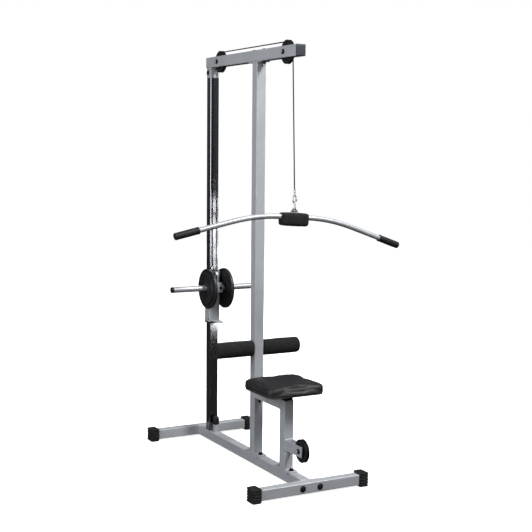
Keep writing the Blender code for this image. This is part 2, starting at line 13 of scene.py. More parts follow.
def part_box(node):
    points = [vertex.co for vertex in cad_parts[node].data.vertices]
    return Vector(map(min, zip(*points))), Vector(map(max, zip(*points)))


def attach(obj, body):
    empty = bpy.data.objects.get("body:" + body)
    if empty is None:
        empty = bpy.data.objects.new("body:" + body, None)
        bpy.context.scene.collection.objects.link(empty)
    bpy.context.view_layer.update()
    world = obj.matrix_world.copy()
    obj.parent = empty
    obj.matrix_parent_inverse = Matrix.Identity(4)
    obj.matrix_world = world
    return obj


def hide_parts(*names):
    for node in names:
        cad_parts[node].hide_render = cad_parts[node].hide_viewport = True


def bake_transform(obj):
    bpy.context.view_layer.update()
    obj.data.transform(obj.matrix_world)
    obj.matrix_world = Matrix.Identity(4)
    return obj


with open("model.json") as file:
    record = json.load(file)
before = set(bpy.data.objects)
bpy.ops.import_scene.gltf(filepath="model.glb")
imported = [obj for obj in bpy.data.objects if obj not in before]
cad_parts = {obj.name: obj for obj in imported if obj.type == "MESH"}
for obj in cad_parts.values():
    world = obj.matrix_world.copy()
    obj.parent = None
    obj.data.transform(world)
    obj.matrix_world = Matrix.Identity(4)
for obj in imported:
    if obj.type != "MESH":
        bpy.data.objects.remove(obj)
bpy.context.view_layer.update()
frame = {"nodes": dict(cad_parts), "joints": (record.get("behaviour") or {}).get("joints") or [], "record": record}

NODES = frame["nodes"]
JOINTS = {joint["name"]: joint for joint in frame["joints"]}

# camera
CAMERA_AT = (-2.5968, -4.9552, 1.6312)
CAMERA_AZIMUTH = -28.426
CAMERA_PITCH = 6.116
CAMERA_ROLL = 0.524
CAMERA_LENS = 73.91

# the bar, level: half of its centre line as distance from the middle and drop below it
BAR_SHAPE = [(0.110, 0.0), (0.150, 0.0025), (0.190, 0.0065), (0.230, 0.0125), (0.270, 0.0205),
             (0.310, 0.0300), (0.350, 0.0408), (0.6105, 0.1148)]
BAR_R = 0.0125
BAR_DROP = 0.0342            # from the pivot in the eyelet down to the bar's centre
BAR_TILT = math.radians(3.7)
GRIP_START = 0.4950
GRIP_R = 0.0170
GRIP_OVERHANG = 0.0033
PAD_HALF_X = 0.0755          # padded block in the middle of the bar
PAD_HALF_Y = 0.029
PAD_RISE = 0.023             # its top above the bar's centre
PAD_FALL = 0.044             # its bottom below it

CABLE_R = 0.003
WIRE_R = 0.0025
SIDE_NAME = {-1: "left", 1: "right"}
LEVEL = (0, 0, 1)


# ---------------------------------------------------------------- finishes
class Look:
    """A Principled material whose detail is worked out in metres from the object's coordinates."""

    def __init__(self, slot, name, color, metallic, roughness, **sockets):
        self.mat = bpy.data.materials.new(name)
        self.mat.use_nodes = True
        self.mat["slot"] = slot
        self.tree = self.mat.node_tree
        self.bsdf = self.tree.nodes["Principled BSDF"]
        self.color = color
        self.bsdf.inputs["Base Color"].default_value = (*color, 1.0)
        self.bsdf.inputs["Metallic"].default_value = metallic
        self.bsdf.inputs["Roughness"].default_value = roughness
        for key, value in sockets.items():
            self.bsdf.inputs[key.replace("_", " ")].default_value = value
        self.where = self.node("ShaderNodeTexCoord").outputs["Object"]
        self.tint = None
        self.bumps = None

    def node(self, kind, inputs=None, **settings):
        made = self.tree.nodes.new(kind)
        for key, value in settings.items():
            setattr(made, key, value)
        for key, value in (inputs or {}).items():
            if isinstance(value, bpy.types.NodeSocket):
                self.tree.links.new(value, made.inputs[key])
            else:
                made.inputs[key].default_value = value
        return made

    def stretched(self, scale):
        return self.node("ShaderNodeMapping", {"Vector": self.where, "Scale": scale}).outputs[0]

    def noise(self, scale, detail, stretch=None):
        where = self.stretched(stretch) if stretch else self.where
        return self.node("ShaderNodeTexNoise", {"Vector": where, "Scale": scale, "Detail": detail,
                                                "Roughness": 0.55}).outputs["Fac"]

    def cells(self, scale, feature="F1"):
        return self.node("ShaderNodeTexVoronoi", {"Vector": self.where, "Scale": scale},
                         feature=feature).outputs["Distance"]

    def remap(self, value, low, high, out_low, out_high):
        return self.node("ShaderNodeMapRange", {"Value": value, "From Min": low, "From Max": high,
                                                "To Min": out_low, "To Max": out_high}).outputs[0]

    def tint_by(self, mask, color):
        """Mix another colour over what is there, by a mask."""
        under = self.tint if self.tint else (*self.color, 1.0)
        mixed = self.node("ShaderNodeMix", {0: mask, 6: under, 7: (*color, 1.0)}, data_type="RGBA")
        self.tint = mixed.outputs[2]
        self.tree.links.new(self.tint, self.bsdf.inputs["Base Color"])

    def cloud(self, scale, detail, low, high, share, color):
        """Tint in soft patches, up to a share of full strength."""
        self.tint_by(self.remap(self.noise(scale, detail), low, high, 0.0, share), color)

    def roughness_by(self, mask, smooth, rough):
        out = self.remap(mask, 0.3, 0.7, smooth, rough)
        self.tree.links.new(out, self.bsdf.inputs["Roughness"])

    def raise_by(self, height, depth, strength=1.0):
        values = {"Height": height, "Distance": depth, "Strength": strength}
        if self.bumps:
            values["Normal"] = self.bumps
        self.bumps = self.node("ShaderNodeBump", values).outputs[0]
        self.tree.links.new(self.bumps, self.bsdf.inputs["Normal"])

    def edges(self, radius):
        """Mask that is 1 along sharp edges and broken up by noise."""
        soft = self.node("ShaderNodeBevel", {"Radius": radius}).outputs[0]
        flat = self.node("ShaderNodeNewGeometry").outputs["Normal"]
        dot = self.node("ShaderNodeVectorMath", {0: soft, 1: flat}, operation="DOT_PRODUCT")
        near = self.remap(dot.outputs["Value"], 0.97, 0.80, 0.0, 1.0)
        broken = self.remap(self.noise(55, 5), 0.50, 0.62, 0.0, 1.0)
        return self.node("ShaderNodeMath", {0: near, 1: broken}, operation="MULTIPLY").outputs[0]


def shade(color, times, plus=0.0):
    return tuple(c * times + plus for c in color)


def silver_paint():
    color = (0.430, 0.446, 0.472)
    look = Look("silver_paint", "silver_paint", color, 0.20, 0.44, Coat_Weight=0.20,
                Coat_Roughness=0.25)
    look.cloud(7, 4, 0.35, 0.68, 1.0, shade(color, 0.90))
    look.tint_by(look.remap(look.cells(2600), 0.0, 0.35, 0.22, 0.0), (0.80, 0.82, 0.86))
    look.tint_by(look.edges(0.0012), (0.52, 0.53, 0.55))
    look.roughness_by(look.noise(30, 4), 0.38, 0.52)
    look.raise_by(look.noise(420, 2), 0.00012, 0.5)
    return look.mat


def guide_chrome():
    color = (0.40, 0.41, 0.43)
    look = Look("chrome", "guide_chrome", color, 1.0, 0.08)
    drawn = look.noise(60, 5, stretch=(40, 40, 0.6))
    look.tint_by(look.remap(drawn, 0.40, 0.70, 0.0, 0.6), (0.24, 0.245, 0.26))
    smear = look.noise(9, 6, stretch=(3, 3, 0.8))
    look.roughness_by(smear, 0.05, 0.17)
    look.raise_by(drawn, 0.00002, 0.4)
    return look.mat


def satin_chrome():
    look = Look("chrome", "satin_chrome", (0.45, 0.462, 0.485), 0.60, 0.50)
    look.cloud(25, 5, 0.45, 0.72, 0.7, (0.38, 0.39, 0.41))
    look.roughness_by(look.noise(45, 5), 0.46, 0.58)
    look.raise_by(look.noise(900, 2), 0.00003, 0.5)
    return look.mat


def zinc():
    look = Look("zinc", "zinc", (0.56, 0.60, 0.66), 1.0, 0.26)
    look.cloud(160, 3, 0.45, 0.70, 0.6, (0.50, 0.56, 0.68))
    look.cloud(70, 5, 0.58, 0.75, 0.5, (0.30, 0.31, 0.33))
    look.roughness_by(look.noise(220, 4), 0.20, 0.40)
    look.raise_by(look.noise(700, 3), 0.00008, 0.5)
    return look.mat


def black_steel():
    look = Look("black_steel", "black_steel", (0.008, 0.008, 0.009), 0.15, 0.50,
                Specular_IOR_Level=0.20)
    look.tint_by(look.edges(0.0007), (0.09, 0.09, 0.095))
    look.cloud(90, 4, 0.5, 0.75, 0.5, (0.020, 0.019, 0.018))
    look.roughness_by(look.noise(150, 4), 0.44, 0.62)
    look.raise_by(look.noise(800, 2), 0.00006, 0.5)
    return look.mat


def moulded(name, color, smooth, rough):
    """Moulded plastic: fine spark-eroded grain, faint flow marks and a painted highlight along its edges."""
    look = Look(name, name, color, 0.0, smooth, Specular_IOR_Level=0.35)
    look.cloud(18, 4, 0.40, 0.70, 1.0, shade(color, 1.5, 0.003))
    # painted highlight: the edges are tinted lighter, standing in for the sheen that catches them
    look.tint_by(look.edges(0.0012), shade(color, 2.5, 0.020))
    look.roughness_by(look.noise(60, 4), smooth, rough)
    look.raise_by(look.noise(1400, 2), 0.00010, 0.7)
    look.raise_by(look.noise(120, 2), 0.00015, 0.4)
    return look.mat


def rubber(name, color):
    look = Look("rubber", name, color, 0.0, 0.58, Specular_IOR_Level=0.30)
    look.cloud(40, 5, 0.48, 0.72, 1.0, shade(color, 2.0))
    # painted highlight: edges and the rims of the ribs are tinted lighter, standing in for their sheen
    look.tint_by(look.edges(0.0014), shade(color, 3.0, 0.012))
    look.roughness_by(look.noise(80, 4), 0.48, 0.74)
    look.raise_by(look.noise(900, 3), 0.00014, 0.8)
    return look.mat


def foam():
    """Closed-cell foam: open pores, darkened with painted shade, on a slightly cloudy matt skin."""
    color = (0.0065, 0.0065, 0.0070)
    look = Look("foam", "foam", color, 0.0, 0.86, Specular_IOR_Level=0.25, Sheen_Weight=0.04,
                Sheen_Roughness=0.6)
    look.cloud(28, 5, 0.42, 0.70, 1.0, (0.012, 0.012, 0.0125))
    # painted shade: darker down in the pores
    look.tint_by(look.remap(look.cells(650), 0.0, 0.28, 0.85, 0.0), (0.002, 0.002, 0.002))
    look.roughness_by(look.noise(120, 3), 0.78, 0.94)
    look.raise_by(look.cells(650), 0.00045, 0.9)
    look.raise_by(look.noise(70, 3), 0.00060, 0.5)
    return look.mat


def vinyl():
    """Upholstery vinyl: pebble grain with fine creases between the pebbles, darkened with painted shade."""
    color = (0.0085, 0.0085, 0.0092)
    look = Look("vinyl", "vinyl", color, 0.0, 0.46, Specular_IOR_Level=0.40, Coat_Weight=0.05,
                Coat_Roughness=0.35)
    crease = look.remap(look.cells(620, "DISTANCE_TO_EDGE"), 0.0, 0.10, 0.0, 1.0)
    look.cloud(14, 5, 0.42, 0.72, 1.0, (0.015, 0.015, 0.016))
    # painted shade: darker down in the creases
    look.tint_by(look.remap(crease, 0.0, 1.0, 0.7, 0.0), (0.004, 0.004, 0.004))
    look.roughness_by(look.noise(35, 5), 0.38, 0.58)
    look.raise_by(crease, 0.00022, 0.8)
    look.raise_by(look.noise(24, 3), 0.0012, 0.35)
    return look.mat


def cable_coat():
    """Nylon coat drawn over wire rope: the strands show through as a faint slant."""
    look = Look("cable_coat", "cable_coat", (0.006, 0.006, 0.0065), 0.0, 0.45,
                Specular_IOR_Level=0.25)
    slant = look.node("ShaderNodeTexWave", {"Vector": look.stretched((1.0, 1.0, 0.45)),
                                            "Scale": 160, "Distortion": 0.6},
                      wave_type="BANDS", bands_direction="DIAGONAL").outputs["Fac"]
    look.tint_by(look.remap(slant, 0.0, 1.0, 0.0, 1.0), (0.016, 0.016, 0.017))
    look.roughness_by(look.noise(200, 4), 0.40, 0.56)
    look.raise_by(slant, 0.00012, 0.7)
    return look.mat


def cast_iron():
    """Black enamel over sand casting: a pebbly skin, thin on the edges."""
    color = (0.0095, 0.0095, 0.0102)
    look = Look("cast_iron", "cast_iron", color, 0.10, 0.42, Specular_IOR_Level=0.35,
                Coat_Weight=0.06, Coat_Roughness=0.30)
    look.cloud(22, 5, 0.42, 0.70, 1.0, (0.018, 0.018, 0.019))
    look.tint_by(look.edges(0.0016), (0.07, 0.07, 0.07))
    look.roughness_by(look.noise(60, 5), 0.32, 0.58)
    look.raise_by(look.noise(210, 4), 0.00050, 0.7)
    return look.mat


def thread():
    look = Look("vinyl", "thread", (0.030, 0.030, 0.032), 0.0, 0.75, Sheen_Weight=0.2)
    look.cloud(900, 3, 0.4, 0.7, 1.0, (0.055, 0.055, 0.058))
    look.raise_by(look.noise(1500, 2), 0.0001, 0.8)
    return look.mat


def board():
    """Black-stained plywood under the seat."""
    look = Look("vinyl", "seat_board_wood", (0.040, 0.036, 0.032), 0.0, 0.70)
    grain = look.noise(40, 6, stretch=(1, 14, 14))
    look.tint_by(look.remap(grain, 0.40, 0.70, 0.0, 1.0), (0.075, 0.062, 0.050))
    look.raise_by(grain, 0.0003, 0.6)
    return look.mat


def bare_steel():
    look = Look("zinc", "bright_nut", (0.72, 0.72, 0.70), 1.0, 0.28)
    look.cloud(260, 4, 0.45, 0.72, 0.8, (0.40, 0.39, 0.37))
    look.roughness_by(look.noise(300, 4), 0.20, 0.45)
    return look.mat


SILVER = silver_paint()
GUIDE = guide_chrome()
SATIN = satin_chrome()
ZINC = zinc()
BLACK_STEEL = black_steel()
NYLON = moulded("black_plastic", (0.0075, 0.0075, 0.0082), 0.34, 0.54)
SLATE = moulded("slate_plastic", (0.030, 0.034, 0.044), 0.42, 0.60)
RUBBER = rubber("rubber", (0.0085, 0.0085, 0.0092))
# a lighter copy of the rubber, standing in for the sheen on the end caps: painted highlight
CAP_RUBBER = rubber("cap_rubber", (0.0105, 0.0105, 0.0110))
FOAM = foam()
VINYL = vinyl()
CABLE = cable_coat()
IRON = cast_iron()
THREAD = thread()
BOARD = board()
BRIGHT = bare_steel()

SLOT_LOOKS = {"silver_paint": SILVER, "chrome": SATIN, "zinc": ZINC, "black_steel": BLACK_STEEL,
              "black_plastic": NYLON, "slate_plastic": SLATE, "rubber": RUBBER, "foam": FOAM,
              "vinyl": VINYL, "cable_coat": CABLE, "cast_iron": IRON}

for part in frame["record"]["subparts"]:
    own = NODES[part["node"]].data.materials
    own.clear()
    own.append(GUIDE if part["node"] == "guide_upright" else SLOT_LOOKS[part["material_slot"]])


# ---------------------------------------------------------------- making pieces
class Box:
    """Where a CAD node is: its low and high corners, its middle and its half size."""

    def __init__(self, node):
        self.low, self.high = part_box(node)
        self.mid = (self.low + self.high) / 2
        self.half = (self.high - self.low) / 2


def face_of(node, axis, side):
    """Point in the middle of one side of a CAD node's box: axis is 0, 1 or 2, side -1 or +1."""
    box = Box(node)
    box.mid[axis] += side * box.half[axis]
    return box.mid


def aimed(at, axis):
    """Matrix that stands an object's own Z along an axis at a point."""
    turn = Vector(axis).to_track_quat("Z", "Y").to_matrix().to_4x4()
    return Matrix.Translation(at) @ turn


def added(name, data):
    obj = bpy.data.objects.new(name, data)
    bpy.context.scene.collection.objects.link(obj)
    return obj


def piece(name, data, body, look, at=None, stands_for=()):
    """Link a piece, finish it and let it ride on a body. at is its matrix in the row frame."""
    obj = added(name, data)
    data.materials.append(look)
    if at is not None:
        obj.matrix_world = at
    if stands_for:
        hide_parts(*stands_for)
    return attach(obj, body)


def mesh_of(bm, name, angle=38):
    bmesh.ops.recalc_face_normals(bm, faces=bm.faces)
    mesh = bpy.data.meshes.new(name)
    bm.to_mesh(mesh)
    bm.free()
    mesh.shade_smooth()
    mesh.set_sharp_from_angle(angle=math.radians(angle))
    return mesh


def softened(points, radius, steps=4, closed=False):
    """Round each corner of a chain of points; radius is one number or one for each corner."""
    points = [Vector(p) for p in points]
    count = len(points)
    out = []
    for i, corner in enumerate(points):
        r = radius[i] if isinstance(radius, (list, tuple)) else radius
        if r <= 0 or (not closed and i in (0, count - 1)):
            out.append(corner)
            continue
        before = points[i - 1] - corner
        after = points[(i + 1) % count] - corner
        a = corner + before.normalized() * min(r, before.length * 0.48)
        b = corner + after.normalized() * min(r, after.length * 0.48)
        for k in range(steps + 1):
            t = k / steps
            out.append(a * (1 - t) ** 2 + corner * 2 * t * (1 - t) + b * t ** 2)
    return out


def bridge(bm, a, b):
    """Faces between two rings of vertices, either of which may be a single point."""
    count = max(len(a), len(b))
    for i in range(count):
        j = (i + 1) % count
        corners = [a[i % len(a)], a[j % len(a)], b[j % len(b)], b[i % len(b)]]
        unique = list(dict.fromkeys(corners))
        if len(unique) > 2:
            bm.faces.new(unique)


def turned(name, profile, steps=72, ring=False, angle=38):
    """Mesh turned about Z from (radius, height) points; ring closes the profile on itself."""
    bm = bmesh.new()
    rings = []
    for radius, height in profile:
        if radius < 1e-6:
            rings.append([bm.verts.new((0, 0, height))])
            continue
        turns = [2 * math.pi * i / steps for i in range(steps)]
        rings.append([bm.verts.new((radius * math.cos(t), radius * math.sin(t), height))
                      for t in turns])
    for a, b in zip(rings, rings[1:] + (rings[:1] if ring else [])):
        bridge(bm, a, b)
    return mesh_of(bm, name, angle)


def capped(profile):
    """Close a turned profile on its axis."""
    return [(0.0, profile[0][1])] + list(profile) + [(0.0, profile[-1][1])]


def layered(name, layers, angle=38):
    """Mesh through closed outlines of equal length, capped at both ends."""
    bm = bmesh.new()
    rings = [[bm.verts.new(p) for p in layer] for layer in layers]
    for a, b in zip(rings, rings[1:]):
        bridge(bm, a, b)
    bm.faces.new(rings[0])
    bm.faces.new(rings[-1])
    return mesh_of(bm, name, angle)


def prism(name, sides, across_flats, height, chamfer):
    """Nut blank: a prism with its corners turned off at both ends."""
    corner = across_flats / 2 / math.cos(math.pi / sides)
    flat = across_flats / 2
    levels = [(flat * 0.96, 0.0), (corner, chamfer), (corner, height - chamfer),
              (flat * 0.96, height)]
    return turned(name, capped(levels), steps=sides, angle=20)


def wire(name, points, radius, body, look, closed=False, stands_for=(), at=None, swell=None,
         sides=5):
    """Round wire through points; swell gives a factor on the radius at each of them."""
    curve = bpy.data.curves.new(name, "CURVE")
    curve.dimensions = "3D"
    curve.bevel_depth = radius
    curve.bevel_resolution = sides
    curve.use_fill_caps = not closed
    spline = curve.splines.new("POLY")
    spline.points.add(len(points) - 1)
    for i, (spot, co) in enumerate(zip(spline.points, points)):
        spot.co = (*co, 1.0)
        if swell:
            spot.radius = swell[i]
    spline.use_cyclic_u = closed
    spline.use_smooth = True
    return piece(name, curve, body, look, at, stands_for)


def rectangle(half_u, half_v, corner, steps=4):
    """Closed outline of a rectangle with round corners."""
    out = []
    for quarter, (su, sv) in enumerate(((1, 1), (-1, 1), (-1, -1), (1, -1))):
        for k in range(steps + 1):
            t = math.radians(90 * (quarter + k / steps))
            out.append((su * (half_u - corner) + corner * math.cos(t),
                        sv * (half_v - corner) + corner * math.sin(t)))
    return out


def resampled(points, step):
    """Points at an even spacing round a closed outline."""
    loop = [Vector(p) for p in points] + [Vector(points[0])]
    out = []
    carry = 0.0
    for a, b in zip(loop, loop[1:]):
        length = (b - a).length
        while carry < length:
            out.append(a + (b - a) * (carry / length))
            carry += step
        carry -= length
    return out


def weld(name, body, at, outline, look=SILVER, radius=0.0021):
    """Rippled bead along a closed outline in the plane of a matrix."""
    points = resampled([(u, v, 0.0) for u, v in outline], 0.0016)
    swell = [1.0 + 0.16 * math.sin(i * 1.9) + 0.25 * noise.noise(Vector((i * 0.31, 0.0, 5.0)))
             for i in range(len(points))]
    return wire(name, points, radius, body, look, closed=True, at=at, swell=swell, sides=2)


# ---------------------------------------------------------------- bolts
def button_head(name, body, at, axis, radius, height, look=BLACK_STEEL, stands_for=()):
    """Domed socket head on its washer; axis points out of the surface it sits on."""
    washer = 0.0016
    top = washer + height
    socket = radius * 0.44
    dome = [(radius * math.cos(t), washer + 0.0008 + (height - 0.0008) * math.sin(t))
            for t in (math.radians(a) for a in range(0, 61, 12))]
    profile = [(radius * 1.28, 0.0), (radius * 1.30, 0.0004), (radius * 1.30, washer - 0.0004),
               (radius * 1.26, washer), (radius, washer)] + dome
    profile += [(socket * 1.12, top), (socket, top - 0.0005), (socket * 0.96, top - height * 0.62)]
    return piece(name, turned(name, capped(profile), steps=48), body, look, aimed(at, axis),
                 stands_for)


def lock_nut(name, body, at, axis, across, reach, rim=0.76):
    """Washer, hexagon nut and the bolt's end, reach tall; axis points away from the surface."""
    place = aimed(at, axis)
    washer = 0.0016
    outer = across * rim
    ring = [(outer - 0.0003, 0.0), (outer, 0.0004), (outer, washer - 0.0004),
            (outer - 0.0003, washer)]
    piece(name + "_washer", turned(name, capped(ring), steps=48), body, look=BLACK_STEEL, at=place)
    lift = place @ Matrix.Translation((0, 0, washer))
    tail = min(across * 0.46, reach - washer - 0.0040)
    piece(name, prism(name, 6, across, tail, across * 0.06), body, BLACK_STEEL, lift)
    shank = across * 0.29
    collar = [(across * 0.42, tail - 0.0004), (across * 0.42, tail + 0.0010),
              (across * 0.34, tail + 0.0022), (shank + 0.0002, tail + 0.0022)]
    piece(name + "_insert", turned(name, capped(collar), steps=36), body, NYLON, lift)
    end = reach - washer
    tip = [(shank, tail), (shank, end - 0.0008), (shank - 0.0008, end)]
    piece(name + "_tip", turned(name, capped(tip), steps=24), body, BRIGHT, lift)


CAD_HEAD = 0.0076            # how far a CAD bolt's head stands out of its surface


def through_bolt(node, axis, cad_nut, radius=0.0098, height=0.0046, across=0.0165, rim=0.76):
    """Bolt that stands for a CAD one: head at the end that axis points to, nut at the other."""
    box = Box(node)
    axis = Vector(axis)
    reach = abs(box.half.dot(axis))
    head = box.mid + axis * (reach - CAD_HEAD)
    nut = box.mid - axis * (reach - cad_nut)
    button_head(node + "_head", "frame", head, axis, radius, height, stands_for=(node,))
    lock_nut(node + "_nut", "frame", nut, -axis, across, cad_nut, rim)
    shank = [(0.0046, 0.0), (0.0046, (head - nut).length)]
    piece(node + "_shank", turned(node, capped(shank), steps=24), "frame", BLACK_STEEL,
          aimed(nut, axis))


for side in ("left", "right"):
    through_bolt("front_stabilizer_bolt_" + side, (0, -1, 0), 0.0090, radius=0.0120, height=0.0056)
for node in ("upright_foot_bolt_front", "upright_foot_bolt_rear", "seat_leg_foot_bolt_front",
             "seat_leg_foot_bolt_rear"):
    through_bolt(node, (0, 0, -1), 0.0180, across=0.0180)
for node in ("boom_bolt_front", "boom_bolt_rear"):
    through_bolt(node, (0, 0, 1), 0.0170, across=0.0175)
for node in ("front_pulley_axle", "rear_pulley_axle", "low_pulley_axle"):
    through_bolt(node, (1, 0, 0), 0.0110, radius=0.0090, height=0.0050, across=0.0200, rim=0.64)


# ---------------------------------------------------------------- frame details
stub_bolt = Vector((0, 0.009, 0.001))
button_head("guide_stub_bolt", "frame", face_of("guide_stub", 0, -1) + stub_bolt, (-1, 0, 0),
            0.0110, 0.0048)
lock_nut("guide_stub_nut", "frame", face_of("guide_stub", 0, 1) + stub_bolt, (1, 0, 0), 0.0165,
         0.0130)

upright_front = face_of("main_upright", 1, -1)
seat_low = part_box("seat_tube")[0].z
button_head("seat_tube_bolt", "frame", (0.006, upright_front.y, seat_low - 0.018), (0, -1, 0),
            0.0062, 0.0032)

base_low, base_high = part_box("base_tube")
for plate in ("upright_foot_plate", "seat_leg_foot_plate"):
    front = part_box(plate)[0].y
    for side, x in ((-1, base_low.x), (1, base_high.x)):
        name = plate.replace("foot_plate", "rivet_") + SIDE_NAME[side]
        profile = capped(softened([(0.0036, 0.0), (0.0036, 0.0012), (0.0012, 0.0016)], 0.0008))
        at = aimed((x, front + 0.006, base_high.z - 0.006), (side, 0, 0))
        piece(name, turned(name, profile, steps=24), "frame", BLACK_STEEL, at)


def bead_path(half_u, half_v):
    return rectangle(half_u + 0.0004, half_v + 0.0004, 0.004)


def foot_weld(name, node):
    """Bead where the foot of a standing tube meets what it stands on."""
    box = Box(node)
    at = Matrix.Translation((box.mid.x, box.mid.y, box.low.z))
    weld(name, "frame", at, bead_path(box.half.x, box.half.y))


foot_weld("weld_upright_foot", "main_upright")
foot_weld("weld_leg_foot", "seat_leg")
foot_weld("weld_guide_foot", "guide_upright")
foot_weld("weld_bumper_post", "bumper_post")


def end_weld(name, node, end, body="frame"):
    """Bead round the end of a tube that lies along Y."""
    spot = face_of(node, 1, end)
    half = Box(node).half
    at = Matrix.Translation(spot) @ Matrix.Rotation(math.radians(90), 4, "X")
    weld(name, body, at, bead_path(half.x, half.z))


end_weld("weld_seat_tube_front", "seat_tube", -1)
end_weld("weld_seat_tube_rear", "seat_tube", 1)
end_weld("weld_base_front", "base_tube", -1)
end_weld("weld_base_rear", "base_tube", 1)
end_weld("weld_low_bracket", "low_pulley_bracket", 1)
end_weld("weld_rod_block", "rod_block", 1, body="carriage")
end_weld("weld_tongue", "bumper_tongue", 1, body="carriage")


def ribbed_cap(node, side):
    """Rubber foot: bands round its sides, a block pattern on top; side is +1 or -1 along X."""
    box = Box(node)
    size = box.half * 2
    bands = 5
    pitch = size.z / bands
    groove = 0.0036
    corner = 0.0090
    levels = [(0.0, 0.0055), (0.0011, 0.0028), (0.0030, 0.0010), (0.0055, 0.0)]
    for i in range(1, bands):
        z = i * pitch
        levels += [(z - 0.0032, 0.0), (z - 0.0022, 0.0008), (z - 0.0014, groove),
                   (z + 0.0014, groove), (z + 0.0022, 0.0008), (z + 0.0032, 0.0)]
    top = size.z - 0.0012
    levels += [(top - 0.0035, 0.0), (top - 0.0010, 0.0010), (top, 0.0035)]
    layers = []
    for z, inset in levels:
        outline = rectangle(size.x / 2 - inset, size.y / 2 - inset, corner, steps=6)
        layers.append([(u, v, z) for u, v in outline])
    at = Matrix.Translation((box.mid.x, box.mid.y, box.low.z))
    piece(node + "_foot", layered(node, layers), "frame", CAP_RUBBER, at, (node,))
    cells_x = 4
    cells_y = 5
    gap = 0.0034
    step_x = (size.x - corner) / cells_x
    step_y = (size.y - corner) / cells_y
    bm = bmesh.new()
    for i in range(cells_x):
        for j in range(cells_y):
            spot = Vector(((i - (cells_x - 1) / 2) * step_x, (j - (cells_y - 1) / 2) * step_y,
                           top + 0.0002))
            stud = bmesh.ops.create_cube(bm, size=1.0)["verts"]
            bmesh.ops.scale(bm, vec=(step_x - gap, step_y - gap, 0.0024), verts=stud)
            bmesh.ops.translate(bm, vec=spot, verts=stud)
    bmesh.ops.bevel(bm, geom=bm.edges[:], offset=0.0007, segments=2, profile=0.5, affect="EDGES")
    piece(node + "_studs", mesh_of(bm, node), "frame", CAP_RUBBER, at)
    lip = rectangle(0.0256, 0.0256, 0.004)
    turn = Matrix.Translation(face_of(node, 0, -side)) @ Matrix.Rotation(math.pi / 2, 4, "Y")
    weld(node + "_lip", "frame", turn, lip, CAP_RUBBER, 0.0018)


for end in ("front", "rear"):
    ribbed_cap("end_cap_" + end + "_left", -1)
    ribbed_cap("end_cap_" + end + "_right", 1)

# plug in the boom's end: a flange with a shallow pillow face
box = Box("boom_end_cap")
flange = []
for depth, inset in ((0.0, 0.0), (0.0030, 0.0), (0.0046, 0.0007), (0.0056, 0.0022),
                     (0.0062, 0.0050), (0.0066, 0.0120)):
    outline = rectangle(box.half.x - inset, box.half.z - inset, 0.0038, steps=6)
    flange.append([(u, box.high.y - depth, v) for u, v in outline])
piece("boom_end_plug", layered("boom_end_plug", flange), "frame", SLATE,
      Matrix.Translation((box.mid.x, 0, box.mid.z)), ("boom_end_cap",))

# rubber bumper: a round knob with a domed top, on its post
box = Box("bumper")
rise = box.half.z * 2
knob = box.half.x
buffer = softened([(knob - 0.0040, 0.0), (knob - 0.0006, 0.0030), (knob, 0.0120),
                   (knob, rise - 0.0160), (knob - 0.0024, rise - 0.0060), (knob - 0.0080, rise)],
                  0.004)
piece("bumper_buffer", turned("bumper_buffer", capped(buffer), steps=64),
      "frame", RUBBER, Matrix.Translation((0, box.mid.y, box.low.z)), ("bumper",))


# ---------------------------------------------------------------- pulleys
def wheel(node, body):
    """Cable pulley: flanged rim, dished web, hub with a pressed-in bearing."""
    box = Box(node)
    hub = box.half.x
    radius = box.half.z
    half = [(0.0112, hub - 0.0002), (0.0150, hub - 0.0012), (0.0160, 0.0066), (0.0172, 0.0052),
            (0.0330, 0.0042), (0.0368, 0.0048), (0.0400, 0.0074), (0.0415, 0.0079),
            (0.0460, 0.0074), (radius - 0.0040, 0.0078), (radius - 0.0010, 0.0081),
            (radius, 0.0072), (radius - 0.0008, 0.0062), (0.0512, 0.0038), (0.0478, 0.0029),
            (0.0458, 0.0012)]
    profile = half + [(r, -w) for r, w in reversed(half)]
    at = aimed(box.mid, (1, 0, 0))
    piece(node + "_wheel", turned(node, profile, steps=112, ring=True, angle=50), body, NYLON, at,
          (node,))
    for side in (-1, 1):
        face = side * hub
        bearing = [(r, face - side * dip) for r, dip in (
            (0.0056, 0.0006), (0.0072, 0.0002), (0.0074, 0.0008), (0.0096, 0.0008),
            (0.0098, 0.0001), (0.0111, 0.0001), (0.0112, 0.0030), (0.0056, 0.0030))]
        name = node + "_bearing_" + SIDE_NAME[side]
        piece(name, turned(name, bearing, steps=48, ring=True), body, ZINC, at)


wheel("front_top_pulley", "front_wheel")
wheel("rear_top_pulley", "rear_wheel")
wheel("low_pulley", "low_wheel")


# ---------------------------------------------------------------- weights
def plate(node, body, side):
    """Weight plate: thick rim, dished band, raised disc with a bead, hub round the bore."""
    box = Box(node)
    outer = box.half.z
    thick = box.half.x * 2
    bore = 0.0201
    profile = [(bore, 0.0), (0.0220, 0.0), (outer - 0.0030, 0.0), (outer - 0.0008, 0.0010),
               (outer, 0.0030), (outer, 0.0125), (outer - 0.0010, 0.0150), (outer - 0.0035, 0.0160),
               (outer - 0.0120, 0.0158), (0.0925, 0.0146), (0.0895, 0.0142), (0.0880, 0.0150),
               (0.0872, 0.0205), (0.0858, 0.0230), (0.0830, thick), (0.0800, 0.0234),
               (0.0760, 0.0216), (0.0350, 0.0206), (0.0315, 0.0210), (0.0295, 0.0232),
               (0.0280, thick), (0.0218, thick), (bore, thick - 0.0016)]
    at = aimed(face_of(node, 0, -side), (side, 0, 0))
    piece(node + "_disc", turned(node, profile, steps=144, ring=True, angle=48), body, IRON, at,
          (node,))


plate("weight_plate_left", "left_plate", -1)
plate("weight_plate_right", "right_plate", 1)


